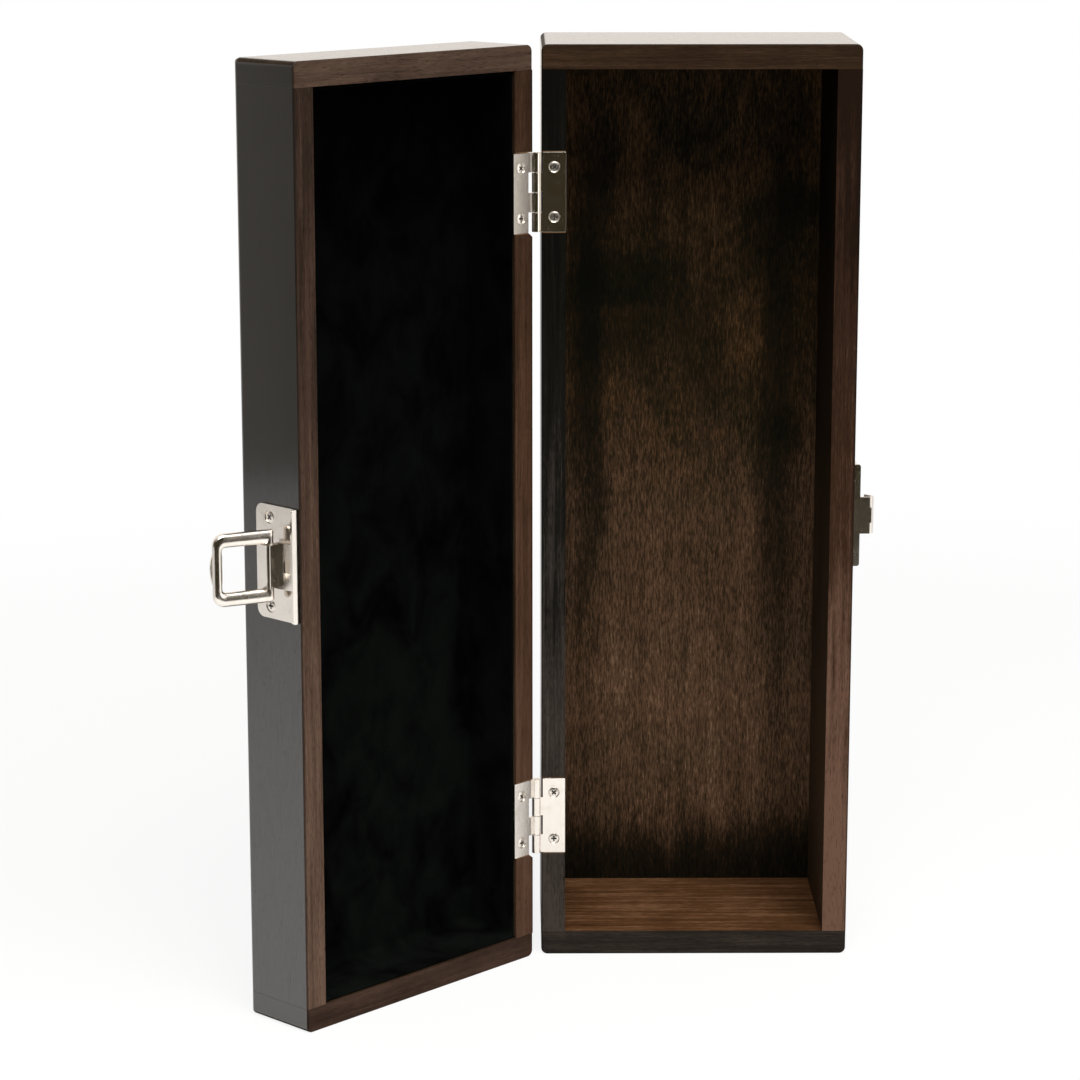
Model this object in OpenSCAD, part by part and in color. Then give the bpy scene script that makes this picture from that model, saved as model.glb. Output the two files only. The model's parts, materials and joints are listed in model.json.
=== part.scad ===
// Upright wooden box for one bottle, in two hinged halves, shown standing open.
// The origin is the middle of the base half's lower end. The base opens towards -Y
// and the lid half hangs on its left side.
// Each half is drawn with its rim on y = 0, its depth along +Y and its hinged side at -X.

/* [Box] */
// Height of the box as it stands
box_h = 356; // [320:1:420]
// Width of each half
box_w = 120; // [105:1:150]
// Depth of the base half
base_d = 71.3; // [60:0.1:110]
// Depth of the lid half
lid_d = 31.5; // [30:0.1:60]
// Thickness of the boards
wall = 9.3; // [8.5:0.1:14]
// Radius of the four corners, seen from the open side
corner_r = 2.5; // [1:0.1:4]
// Radius of the edges round the closed face of each half
edge_r = 2; // [0.5:0.1:3]
// Gap between the two rims when the box is closed
seam_gap = 0.3; // [0.2:0.05:1]
// Angle that the lid stands open, from closed
lid_open = 134; // [90:1:180]

/* [Panels and lining] */
// Thickness of the plywood panel that closes each half
panel_t = 4; // [3:0.1:6]
// Width of the rebate that the panel lies in
rebate_w = 5; // [3:0.1:6]
// Thickness of the velvet lining in the lid
lining_t = 1.2; // [0.8:0.1:2.5]
// Distance from the lid's rim to the edge of the lining
lining_drop = 1.2; // [0.5:0.1:4]
// Radius of the lining's inside corners
lining_r = 3; // [1:0.1:6]

/* [Hinges] */
// Height of the lower hinge's middle above the standing end
hinge_low_z = 57; // [40:1:80]
// Distance of the upper hinge's middle below the upper end
hinge_top_inset = 55; // [40:1:80]
// Length of a hinge along its pin
hinge_len = 30; // [24:1:40]
// Number of knuckles in a hinge
knuckles = 4; // [2:2:6]
// Radius of the knuckles
knuckle_r = 1.75; // [1.4:0.05:1.8]
// Radius of the hinge pin
pin_r = 0.8; // [0.6:0.05:1]
// Distance from the side of the box out to the pin's axis
hinge_off = 1.9; // [1.9:0.05:3]
// Thickness of a leaf
leaf_t = 1.1; // [0.8:0.1:1.6]
// Reach of the base leaf from the pin's axis
base_leaf_w = 11.2; // [9.5:0.1:12]
// Start of the base leaf beside the lid's knuckles, from the pin's axis
base_leaf_start = 2.5; // [2.2:0.1:3.5]
// Reach of the lid leaf from the pin's axis
lid_leaf_w = 11.9; // [10.5:0.1:13]
// Start of the lid leaf beside the base's knuckles, from the pin's axis
lid_leaf_start = 4; // [3.2:0.1:5]
// Distance of a screw from the end of its leaf
leaf_screw_inset = 5.6; // [4:0.1:8]
// Depth of the relief cut behind the knuckles in the lid's edge
relief_d = 2.4; // [2:0.1:4]
// Drop of the relief's sloping lower end
relief_slope = 1.6; // [0.5:0.1:3]

/* [Latch plate] */
// Height of the catch's middle above the standing end
latch_z = 176.5; // [150:0.5:200]
// Distance from a rim to the metal of the catch
catch_inset = 1; // [0.6:0.1:3]
// Height of the latch plate
plate_h = 42; // [38:0.5:50]
// Width of the latch plate across the lid's side
plate_w = 21.3; // [19:0.1:24]
// Distance of the latch plate's screws back from the lid's rim
plate_screw_in = 15.2; // [14:0.1:16]
// Thickness of the sheet metal
sheet_t = 1; // [0.8:0.1:1.2]
// Radius of the plates' far corners
plate_corner_r = 3.4; // [1:0.1:5]
// Height of the latch plate's flange above the lid's side
flange_h = 3; // [2.2:0.1:3.2]
// Width of the spring tongue
tongue_w = 17; // [12:0.5:17]
// Length of the slot in the tongue
slot_len = 4.4; // [3:0.1:8]
// Width of the slot in the tongue
slot_w = 2.8; // [1.5:0.1:3.5]
// Leg of the triangular gussets between plate and flange
gusset = 1.8; // [1:0.1:1.8]
// Distance of the gussets from the catch's middle
gusset_z = 11; // [10:0.5:13]

/* [Bail] */
// Distance of the bail's pivot back from the lid's rim
pivot_in = 10.4; // [9.5:0.1:12]
// Height of the bail's pivot above the lid's side
pivot_h = 5.8; // [5.6:0.1:6.5]
// Radius of the bail's wire
wire_r = 1.7; // [1.4:0.05:1.8]
// Length of the bail from its pivot to the far leg
bail_len = 19.8; // [18.5:0.1:22]
// Height of each flattened arm
arm_h = 5.2; // [4.2:0.1:6]
// Radius of the two far bends, to the middle of the wire
bend_r = 2.5; // [2:0.1:3.4]
// Length of the folded barrel that holds the bail
barrel_len = 16; // [14:0.5:17]
// Radius of the barrel's four corners
barrel_corner = 1; // [0.4:0.1:1.6]
// Length of each bent-in end inside the barrel
stub_len = 5; // [3:0.5:6.5]
// Angle of the bail from straight out, towards the back of the lid
bail_open = 20; // [0:1:90]
// Thickness of the thumb tab
tab_t = 1.1; // [0.8:0.1:1.3]
// Reach of the tab inside the middle of the far leg
tab_in = 2.6; // [1.9:0.1:2.6]
// Reach of the tab outside the middle of the far leg
tab_out = 2; // [1.6:0.1:3.5]
// Depth of the hollow that seats the tab on the far leg
tab_seat = 0.3; // [0.2:0.05:0.4]
// Height of the tab's straight inner edge
tab_edge = 10; // [6:0.5:12]
// Height of the tab's bowed outer edge
tab_bow = 16.4; // [13:0.1:17]

/* [Keeper] */
// Height of the keeper plate
keeper_h = 39.8; // [38:0.5:46]
// Width of the keeper plate across the base's side
keeper_w = 13; // [12:0.1:18]
// Distance of the keeper's screws back from the base's rim
keeper_screw_in = 9.7; // [9:0.1:10]
// Height of the keeper's flange above the base's side
keeper_flange_h = 2.4; // [1.6:0.1:2.6]
// Width of the hook along the box's height
hook_w = 14.3; // [11:0.1:14.6]
// Height of the hook above the base's side
hook_h = 7.7; // [7.4:0.1:8]
// Radius of the hook's crown, to the middle of the sheet
crown_r = 1.8; // [1.5:0.1:2]
// Height of the middle of the hook's nose above the base's side
nose_h = 4.8; // [4.4:0.1:4.9]
// Width of the groove pressed down the middle of the hook
groove_w = 6; // [3:0.1:8]
// Depth of that groove
groove_t = 0.5; // [0.2:0.1:0.6]

/* [Screws] */
// Radius of a hinge screw's head
hinge_head_r = 2.1; // [1.8:0.05:2.3]
// Radius of a hinge screw's shank
hinge_shank_r = 1; // [0.8:0.05:1.2]
// Length of a hinge screw below its leaf
hinge_screw_len = 10; // [6:0.5:16]
// Radius of a catch screw's head
catch_head_r = 2.4; // [2.1:0.05:2.6]
// Radius of a catch screw's shank
catch_shank_r = 1.2; // [1:0.05:1.4]
// Length of a catch screw below its plate
catch_screw_len = 6.5; // [4:0.1:7]
// Distance of a catch screw from the catch's middle
catch_screw_z = 16.4; // [16.2:0.1:16.6]
// Depth of the heads' edge below the metal's face, which is the height of their dome
head_sink = 0.3; // [0.2:0.05:0.4]
// Width of the cross recess in a head
cross_w = 0.6; // [0.4:0.05:0.8]
// Depth of the cross recess in a head
cross_deep = 0.75; // [0.5:0.05:0.8]

/* [Fits] */
// Radial running clearance of the hinge pins and the bail
run_gap = 0.05; // [0.02:0.01:0.1]
// Clearance between parts that are laid or let into each other
fit_gap = 0.1; // [0.05:0.01:0.2]
// Clearance round the screws
screw_gap = 0.05; // [0.02:0.01:0.1]
// Gap between knuckles, and between the barrel and the bail's arms
side_gap = 0.2; // [0.1:0.05:0.5]
// Clearance between the bail's leg and the hook's nose as it swings past
nose_gap = 0.3; // [0.2:0.05:0.5]

/* [Hidden] */
$fn = 64;
// Extra length of a cutter past the face that it cuts
over = 1;
// Overlap of two lengths of one bent sheet
lap = 0.1;
hinge_top_z = box_h - hinge_top_inset;
knuckle_pitch = hinge_len / knuckles;
leaf_screw_rise = hinge_len / 2 - leaf_screw_inset;
tongue_low = flange_h - sheet_t;
barrel_half = wire_r + run_gap + sheet_t;
barrel_low = pivot_h - barrel_half;
arm_in = barrel_len / 2 + side_gap;
arm_out = arm_in + arm_h;
leg_half = arm_out - wire_r - bend_r;
// The hook's nose ends just inside the circle that the bail's leg sweeps
nose_in = bail_len - wire_r - nose_gap - pivot_in - seam_gap;
// Turn of each screw's cross, so that no two in a pair stand alike
cross_turns = [0, 45];

// Places the base half in the standing box
module in_base() {
    translate([0, -base_d / 2, 0]) children();
}

// Places the lid half, turned open about the hinge axis
module in_lid() {
    axis = [-box_w / 2 - hinge_off, -(base_d + seam_gap) / 2, 0];
    translate(axis) rotate([0, 0, -lid_open]) translate(-axis)
        translate([0, -base_d / 2 - seam_gap, 0]) mirror([0, 1, 0]) children();
}

// Extrudes an outline drawn in X and Z from y to y + depth
module along_y(y, depth) {
    translate([0, y + depth, 0]) rotate([90, 0, 0]) linear_extrude(depth) children();
}

// Extrudes an outline drawn in Y and Z from x to x + depth
module along_x(x, depth) {
    translate([x, 0, 0]) rotate([90, 0, 90]) linear_extrude(depth) children();
}

// A rectangle standing on y = 0 with the corners at its upper edge rounded
module domed_rect(w, h, r) {
    translate([-w / 2, 0]) square([w, h - r]);
    translate([-w / 2 + r, 0]) square([w - 2 * r, h]);
    for (x = [-1, 1]) translate([x * (w / 2 - r), h - r]) circle(r);
}

// A rectangle centred on x = 0 with all four corners rounded
module round_rect(w, h, r) {
    translate([-w / 2, r]) square([w, h - 2 * r]);
    translate([-w / 2 + r, 0]) square([w - 2 * r, h]);
    for (x = [-1, 1], y = [r, h - r]) translate([x * (w / 2 - r), y]) circle(r);
}

// The rounded block that a half is cut from
module half_block(depth) {
    intersection() {
        along_y(0, depth) round_rect(box_w, box_h, corner_r);
        linear_extrude(box_h) domed_rect(box_w, depth, edge_r);
        along_x(-box_w / 2, box_w) rotate(-90) translate([-box_h / 2, 0])
            domed_rect(box_h, depth, edge_r);
    }
}

// The seat of the closing panel, larger than the panel by the clearance all round
module panel_seat(depth, gap) {
    inset = wall - rebate_w - gap;
    translate([-box_w / 2 + inset, depth - panel_t, inset])
        cube([box_w - 2 * inset, panel_t + over, box_h - 2 * inset]);
}

// The end board at height z, which runs the full width
module end_board(depth, z) {
    difference() {
        intersection() {
            half_block(depth);
            translate([-box_w / 2, 0, z]) cube([box_w, depth, wall]);
        }
        panel_seat(depth, fit_gap);
    }
}

// The side board that starts at x, between the two end boards
module side_board(depth, x) {
    difference() {
        intersection() {
            half_block(depth);
            translate([x, 0, wall]) cube([wall, depth, box_h - 2 * wall]);
        }
        panel_seat(depth, fit_gap);
    }
}

// The plywood panel in its rebate
module panel(depth) {
    intersection() {
        panel_seat(depth, 0);
        half_block(depth);
    }
}

// The recess for one leaf, open to the outside of the box
module leaf_mortise(z, leaf_w) {
    translate([-box_w / 2 - over, -over, z - hinge_len / 2 - fit_gap])
        cube([leaf_w - hinge_off + over + fit_gap, leaf_t + over, hinge_len + 2 * fit_gap]);
}

// The relief behind the knuckles, with a sloping lower end
module knuckle_relief(z) {
    reach = lid_leaf_start - hinge_off;
    top = z + hinge_len / 2 + fit_gap;
    low = z - hinge_len / 2 - fit_gap;
    along_y(-over, relief_d + over) translate([-box_w / 2, 0]) polygon([[-over, top],
        [reach, top], [reach, low], [0, low - relief_slope], [-over, low - relief_slope]]);
}

// A raised countersunk screw with a cross recess, along -Z, its dome's top on z = 0
module screw(head_r, shank_r, sheet, length, turn) {
    dome_r = (head_r * head_r + head_sink * head_sink) / (2 * head_sink);
    tip_r = shank_r / 4;
    difference() {
        union() {
            intersection() {
                translate([0, 0, -dome_r]) sphere(dome_r);
                translate([0, 0, -head_sink]) cylinder(r = head_r, h = head_sink);
            }
            translate([0, 0, -sheet])
                cylinder(r1 = shank_r, r2 = head_r, h = sheet - head_sink);
            translate([0, 0, -sheet - length + shank_r])
                cylinder(r = shank_r, h = length - shank_r);
            translate([0, 0, -sheet - length])
                cylinder(r1 = tip_r, r2 = shank_r, h = shank_r);
        }
        for (a = [0, 90]) rotate(turn + a)
            translate([-head_r / 2, -cross_w / 2, -cross_deep])
                cube([head_r, cross_w, cross_deep + over]);
    }
}

// The countersunk hole for such a screw, through its sheet and into the wood
module screw_hole(head_r, shank_r, sheet, length) {
    r = shank_r + screw_gap;
    translate([0, 0, -head_sink - screw_gap])
        cylinder(r = head_r + screw_gap, h = head_sink + screw_gap + over);
    translate([0, 0, -sheet - screw_gap])
        cylinder(r1 = r, r2 = head_r + screw_gap, h = sheet - head_sink);
    translate([0, 0, -sheet - length - screw_gap])
        cylinder(r = r, h = length + sheet);
}

// Puts its children at both screws of a hinge leaf, facing out of the rim
module at_leaf_screws(z, leaf_start, leaf_w) {
    x = -box_w / 2 - hinge_off + (leaf_start + leaf_w) / 2;
    for (i = [0, 1]) translate([x, 0, z + (2 * i - 1) * leaf_screw_rise])
        rotate([90, 0, 0]) rotate(cross_turns[i]) children();
}

module leaf_screws(z, leaf_start, leaf_w) {
    at_leaf_screws(z, leaf_start, leaf_w)
        screw(hinge_head_r, hinge_shank_r, leaf_t, hinge_screw_len, 0);
}

module leaf_screw_holes(z, leaf_start, leaf_w) {
    at_leaf_screws(z, leaf_start, leaf_w)
        screw_hole(hinge_head_r, hinge_shank_r, leaf_t, hinge_screw_len);
}

// One leaf with every second knuckle; first is the lowest knuckle that it carries
module hinge_leaf(z, leaf_start, leaf_w, first, bore_r) {
    difference() {
        translate([-box_w / 2 - hinge_off, 0, z - hinge_len / 2]) {
            translate([leaf_start, 0, 0]) cube([leaf_w - leaf_start, leaf_t, hinge_len]);
            for (k = [first : 2 : knuckles - 1])
                translate([0, 0, k * knuckle_pitch + side_gap / 2]) {
                    translate([0, -seam_gap / 2, 0])
                        cylinder(r = knuckle_r, h = knuckle_pitch - side_gap);
                    cube([leaf_start, leaf_t, knuckle_pitch - side_gap]);
                }
        }
        translate([-box_w / 2 - hinge_off, -seam_gap / 2, z - hinge_len / 2 - over])
            cylinder(r = bore_r, h = hinge_len + 2 * over);
        leaf_screw_holes(z, leaf_start, leaf_w);
    }
}

module base_leaf(z) {
    hinge_leaf(z, base_leaf_start, base_leaf_w, 0, pin_r);
}

module lid_leaf(z) {
    hinge_leaf(z, lid_leaf_start, lid_leaf_w, 1, pin_r + run_gap);
}

module hinge_pin(z) {
    translate([-box_w / 2 - hinge_off, -seam_gap / 2, z - hinge_len / 2])
        cylinder(r = pin_r, h = hinge_len);
}

// Puts its children at both screws of a catch plate, facing out of the box's side
module at_catch_screws(inset) {
    for (i = [0, 1])
        translate([box_w / 2 + sheet_t, inset, latch_z + (2 * i - 1) * catch_screw_z])
            rotate([0, 90, 0]) rotate(cross_turns[i]) children();
}

module catch_screws(inset) {
    at_catch_screws(inset)
        screw(catch_head_r, catch_shank_r, sheet_t, catch_screw_len, 0);
}

module catch_screw_holes(inset) {
    at_catch_screws(inset)
        screw_hole(catch_head_r, catch_shank_r, sheet_t, catch_screw_len);
}

// A plate screwed to the box's side, with a flange standing along the rim
module flanged_plate(w, h, flange, inset) {
    difference() {
        union() {
            along_x(0, sheet_t) translate([catch_inset, 0]) rotate(-90)
                domed_rect(h, w, plate_corner_r);
            along_y(catch_inset, sheet_t) rotate(-90) domed_rect(h, flange, sheet_t);
        }
        translate([-box_w / 2, 0, -latch_z]) catch_screw_holes(inset);
    }
}

// The sprung tongue that runs back from the flange and carries the barrel
module tongue() {
    slot_in = catch_inset + sheet_t + slot_w / 2;
    difference() {
        translate([0, 0, -tongue_w / 2]) linear_extrude(tongue_w)
            polygon([[tongue_low, catch_inset], [flange_h, catch_inset],
                [barrel_low + sheet_t, pivot_in - wire_r], [barrel_low, pivot_in - wire_r]]);
        translate([0, slot_in - slot_w / 2 + sheet_t / 2, -slot_len / 2])
            cube([pivot_h, slot_w, slot_len]);
    }
}

// One arm of the bail along +X, flattened, with a square end round the pivot on the Z axis
module bail_arm() {
    inner = arm_in + wire_r;
    outer = arm_out - wire_r;
    arm_len = bail_len + wire_r;
    translate([bail_len - bend_r, 0, outer - bend_r]) rotate([90, 0, 0]) {
        rotate_extrude(angle = 90) translate([bend_r, 0]) circle(wire_r);
        translate([0, 0, -wire_r]) linear_extrude(2 * wire_r) intersection() {
            circle(bend_r);
            square(bend_r);
        }
    }
    translate([-wire_r, 0, inner]) rotate([0, 90, 0]) cylinder(r = wire_r, h = arm_len);
    translate([-wire_r, 0, outer]) rotate([0, 90, 0])
        cylinder(r = wire_r, h = arm_len - bend_r);
    translate([-wire_r, -wire_r, inner])
        cube([arm_len - bend_r, 2 * wire_r, outer - inner]);
    translate([0, 0, barrel_len / 2 - stub_len])
        cylinder(r = wire_r, h = inner - barrel_len / 2 + stub_len);
}

// Puts the bail's own frame on its pivot, swung back from straight out
module at_pivot() {
    translate([box_w / 2 + pivot_h, pivot_in, latch_z]) rotate(bail_open) children();
}

// The outline of the thumb tab in X and Z, with a straight inner and a bowed outer edge
module tab_outline() {
    bow_depth = tab_out;
    bow_r = (tab_bow * tab_bow / 4 + bow_depth * bow_depth) / (2 * bow_depth);
    translate([bail_len, 0]) intersection() {
        translate([bow_depth - bow_r, 0]) circle(bow_r, $fn = 128);
        polygon([[-tab_in, -tab_edge / 2], [-tab_in, tab_edge / 2], [0, tab_bow / 2],
            [bow_depth, tab_bow / 2], [bow_depth, -tab_bow / 2], [0, -tab_bow / 2]]);
    }
}

// The hook's bent section in X and Y: front wall, crown and a nose that slopes down
module hook_section() {
    half_t = sheet_t / 2;
    clip = 3 * crown_r;
    crown = [hook_h - half_t - crown_r, catch_inset + half_t + crown_r];
    nose = [nose_h, nose_in - half_t];
    slope = atan2(nose[1] - crown[1], nose[0] - crown[0]);
    reach = norm(nose - crown);
    turn = slope - acos(crown_r / reach);
    top = crown + crown_r * [cos(turn), sin(turn)];
    translate([0, catch_inset]) square([crown[0], sheet_t]);
    translate(crown) intersection() {
        difference() {
            circle(crown_r + half_t);
            circle(crown_r - half_t);
        }
        polygon([[0, 0], [0, -clip], [clip, -clip], clip * [cos(turn), sin(turn)]]);
    }
    translate(top) rotate(atan2(nose[1] - top[1], nose[0] - top[0]))
        translate([-lap, -half_t]) square([norm(nose - top) + lap, sheet_t]);
    translate(nose) circle(half_t);
}

module base_top_end() {
    color([0.28, 0.2, 0.15]) in_base() end_board(base_d, box_h - wall);
}

module base_bottom_end() {
    color([0.28, 0.2, 0.15]) in_base() end_board(base_d, 0);
}

module base_hinge_side() {
    color([0.26, 0.19, 0.14]) in_base() difference() {
        side_board(base_d, -box_w / 2);
        for (z = [hinge_low_z, hinge_top_z]) {
            leaf_mortise(z, base_leaf_w);
            leaf_screw_holes(z, base_leaf_start, base_leaf_w);
        }
    }
}

module base_latch_side() {
    color([0.34, 0.25, 0.19]) in_base() difference() {
        side_board(base_d, box_w / 2 - wall);
        catch_screw_holes(keeper_screw_in);
    }
}

module base_back_panel() {
    color([0.25, 0.17, 0.11]) in_base() panel(base_d);
}

module lid_top_end() {
    color([0.28, 0.2, 0.15]) in_lid() end_board(lid_d, box_h - wall);
}

module lid_bottom_end() {
    color([0.3, 0.23, 0.19]) in_lid() end_board(lid_d, 0);
}

module lid_hinge_side() {
    color([0.27, 0.2, 0.15]) in_lid() difference() {
        side_board(lid_d, -box_w / 2);
        for (z = [hinge_low_z, hinge_top_z]) {
            leaf_mortise(z, lid_leaf_w);
            knuckle_relief(z);
            leaf_screw_holes(z, lid_leaf_start, lid_leaf_w);
        }
    }
}

module lid_latch_side() {
    color([0.32, 0.3, 0.28]) in_lid() difference() {
        side_board(lid_d, box_w / 2 - wall);
        catch_screw_holes(plate_screw_in);
    }
}

module lid_front_panel() {
    color([0.2, 0.18, 0.16]) in_lid() panel(lid_d);
}

// The lining is a shallow tray with coved corners, glued in behind the rim
module lid_lining() {
    w = box_w - 2 * wall;
    h = box_h - 2 * wall;
    depth = lid_d - panel_t - lining_drop;
    inner_w = w - 2 * lining_t;
    inner_h = h - 2 * lining_t;
    inner_d = depth - lining_t;
    color([0.04, 0.04, 0.04]) in_lid() translate([0, lining_drop, wall]) difference() {
        translate([-w / 2, 0, 0]) cube([w, depth, h]);
        translate([0, 0, lining_t]) intersection() {
            along_y(-over, inner_d + over) round_rect(inner_w, inner_h, lining_r);
            translate([0, -over, 0]) linear_extrude(inner_h)
                domed_rect(inner_w, inner_d + over, lining_r);
            along_x(-w / 2, w) rotate(-90) translate([-inner_h / 2, -over])
                domed_rect(inner_h, inner_d + over, lining_r);
        }
    }
}

module upper_hinge_base_leaf() {
    color([0.75, 0.72, 0.66]) in_base() base_leaf(hinge_top_z);
}

module upper_hinge_lid_leaf() {
    color([0.9, 0.86, 0.82]) in_lid() lid_leaf(hinge_top_z);
}

module upper_hinge_pin() {
    color([0.8, 0.77, 0.72]) in_base() hinge_pin(hinge_top_z);
}

module lower_hinge_base_leaf() {
    color([0.92, 0.88, 0.84]) in_base() base_leaf(hinge_low_z);
}

module lower_hinge_lid_leaf() {
    color([0.9, 0.86, 0.82]) in_lid() lid_leaf(hinge_low_z);
}

module lower_hinge_pin() {
    color([0.8, 0.77, 0.72]) in_base() hinge_pin(hinge_low_z);
}

module upper_hinge_base_screws() {
    color([0.7, 0.67, 0.62]) in_base()
        leaf_screws(hinge_top_z, base_leaf_start, base_leaf_w);
}

module upper_hinge_lid_screws() {
    color([0.7, 0.67, 0.62]) in_lid()
        leaf_screws(hinge_top_z, lid_leaf_start, lid_leaf_w);
}

module lower_hinge_base_screws() {
    color([0.7, 0.67, 0.62]) in_base()
        leaf_screws(hinge_low_z, base_leaf_start, base_leaf_w);
}

module lower_hinge_lid_screws() {
    color([0.7, 0.67, 0.62]) in_lid()
        leaf_screws(hinge_low_z, lid_leaf_start, lid_leaf_w);
}

module latch_plate() {
    barrel_near = pivot_in - barrel_half;
    color([0.88, 0.83, 0.78]) in_lid() translate([box_w / 2, 0, latch_z]) difference() {
        union() {
            flanged_plate(plate_w, plate_h, flange_h, plate_screw_in);
            tongue();
            for (z = [-gusset_z, gusset_z])
                translate([sheet_t, catch_inset + sheet_t, z - sheet_t / 2])
                    linear_extrude(sheet_t) polygon([[0, 0], [gusset, 0], [0, gusset]]);
            translate([pivot_h, barrel_near, -barrel_len / 2]) linear_extrude(barrel_len)
                round_rect(2 * barrel_half, 2 * barrel_half, barrel_corner);
        }
        translate([pivot_h, pivot_in, -barrel_len / 2 - over])
            cylinder(r = wire_r + run_gap, h = barrel_len + 2 * over);
    }
}

module latch_plate_screws() {
    color([0.7, 0.67, 0.62]) in_lid() catch_screws(plate_screw_in);
}

module latch_bail() {
    color([0.85, 0.8, 0.74]) in_lid() at_pivot() {
        bail_arm();
        mirror([0, 0, 1]) bail_arm();
        translate([bail_len, 0, -leg_half]) cylinder(r = wire_r, h = 2 * leg_half);
    }
}

module bail_thumb_tab() {
    color([0.8, 0.76, 0.7]) in_lid() at_pivot() difference() {
        along_y(wire_r - tab_seat, tab_t) tab_outline();
        translate([bail_len, 0, -tab_bow]) cylinder(r = wire_r, h = 2 * tab_bow);
    }
}

module keeper_plate() {
    groove_x = hook_h - sheet_t / 2 - groove_t;
    color([0.6, 0.55, 0.5]) in_base() translate([box_w / 2, 0, latch_z]) {
        flanged_plate(keeper_w, keeper_h, keeper_flange_h, keeper_screw_in);
        difference() {
            translate([0, 0, -hook_w / 2]) linear_extrude(hook_w) hook_section();
            translate([keeper_flange_h, catch_inset - over, -groove_w / 2])
                cube([groove_x, over + groove_t, groove_w]);
        }
    }
}

module keeper_screws() {
    color([0.7, 0.67, 0.62]) in_base() catch_screws(keeper_screw_in);
}

base_top_end();
base_bottom_end();
base_hinge_side();
base_latch_side();
base_back_panel();
lid_top_end();
lid_bottom_end();
lid_hinge_side();
lid_latch_side();
lid_front_panel();
lid_lining();
upper_hinge_base_leaf();
upper_hinge_lid_leaf();
upper_hinge_pin();
lower_hinge_base_leaf();
lower_hinge_lid_leaf();
lower_hinge_pin();
upper_hinge_base_screws();
upper_hinge_lid_screws();
lower_hinge_base_screws();
lower_hinge_lid_screws();
latch_plate();
latch_plate_screws();
latch_bail();
bail_thumb_tab();
keeper_plate();
keeper_screws();
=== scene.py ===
"""The dressed wooden bottle box: boards, panels, lining, hinges and bail catch, in metres.

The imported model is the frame. Every piece below either keeps a node of that model and gives it
its finish, or stands for one with a finer mesh. The base half faces -Y, the lid half hangs open
on its left, and the standing end is at Z = 0.
"""

import json
import math

import bmesh
import bpy
import numpy as np
from mathutils import Euler, Matrix, Vector

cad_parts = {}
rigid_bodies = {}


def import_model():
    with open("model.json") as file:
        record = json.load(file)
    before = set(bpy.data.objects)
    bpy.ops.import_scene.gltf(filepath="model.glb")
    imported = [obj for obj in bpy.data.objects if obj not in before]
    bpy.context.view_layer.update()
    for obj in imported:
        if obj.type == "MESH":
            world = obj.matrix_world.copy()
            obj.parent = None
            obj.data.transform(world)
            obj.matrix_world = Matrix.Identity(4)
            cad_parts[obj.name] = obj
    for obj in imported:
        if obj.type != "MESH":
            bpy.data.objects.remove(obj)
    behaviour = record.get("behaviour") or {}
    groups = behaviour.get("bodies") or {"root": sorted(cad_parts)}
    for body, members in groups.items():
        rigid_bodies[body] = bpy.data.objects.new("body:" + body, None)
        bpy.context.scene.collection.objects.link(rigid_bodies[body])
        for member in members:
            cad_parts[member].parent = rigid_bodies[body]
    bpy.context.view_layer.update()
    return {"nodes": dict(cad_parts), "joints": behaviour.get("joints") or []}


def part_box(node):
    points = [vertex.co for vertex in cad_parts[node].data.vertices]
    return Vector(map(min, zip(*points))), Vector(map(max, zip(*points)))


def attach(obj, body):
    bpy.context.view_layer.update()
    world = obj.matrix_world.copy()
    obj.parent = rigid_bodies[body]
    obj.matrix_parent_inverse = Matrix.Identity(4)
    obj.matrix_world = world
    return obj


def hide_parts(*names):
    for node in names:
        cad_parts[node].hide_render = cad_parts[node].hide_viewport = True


for leftover in list(bpy.data.objects):
    bpy.data.objects.remove(leftover)
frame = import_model()
nodes = frame["nodes"]
MM = 0.001


# ---- Camera ----------------------------------------------------------------------------------
# A long lens a little above the box's upper end, which looks down on it, so that the top faces
# and the inner floor both show. There is no shift and no depth of field.
CAMERA_PLACE = Vector((-69.2, -1284.4, 440.0)) * MM
CAMERA_DOWN_DEG = 12.32
CAMERA_RIGHT_DEG = 0.40
IMAGE_PX = 1080
FOCAL_PX = 3328.5
SENSOR_MM = 36

camera_data = bpy.data.cameras.new("camera")
camera_data.sensor_width = SENSOR_MM
camera_data.lens = FOCAL_PX / IMAGE_PX * SENSOR_MM
camera = bpy.data.objects.new("camera", camera_data)
camera.location = CAMERA_PLACE
camera.rotation_euler = Euler(
    (math.radians(90 - CAMERA_DOWN_DEG), 0, math.radians(-CAMERA_RIGHT_DEG)))
bpy.context.scene.collection.objects.link(camera)
bpy.context.scene.camera = camera
bpy.context.scene.view_settings.view_transform = "Standard"


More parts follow.
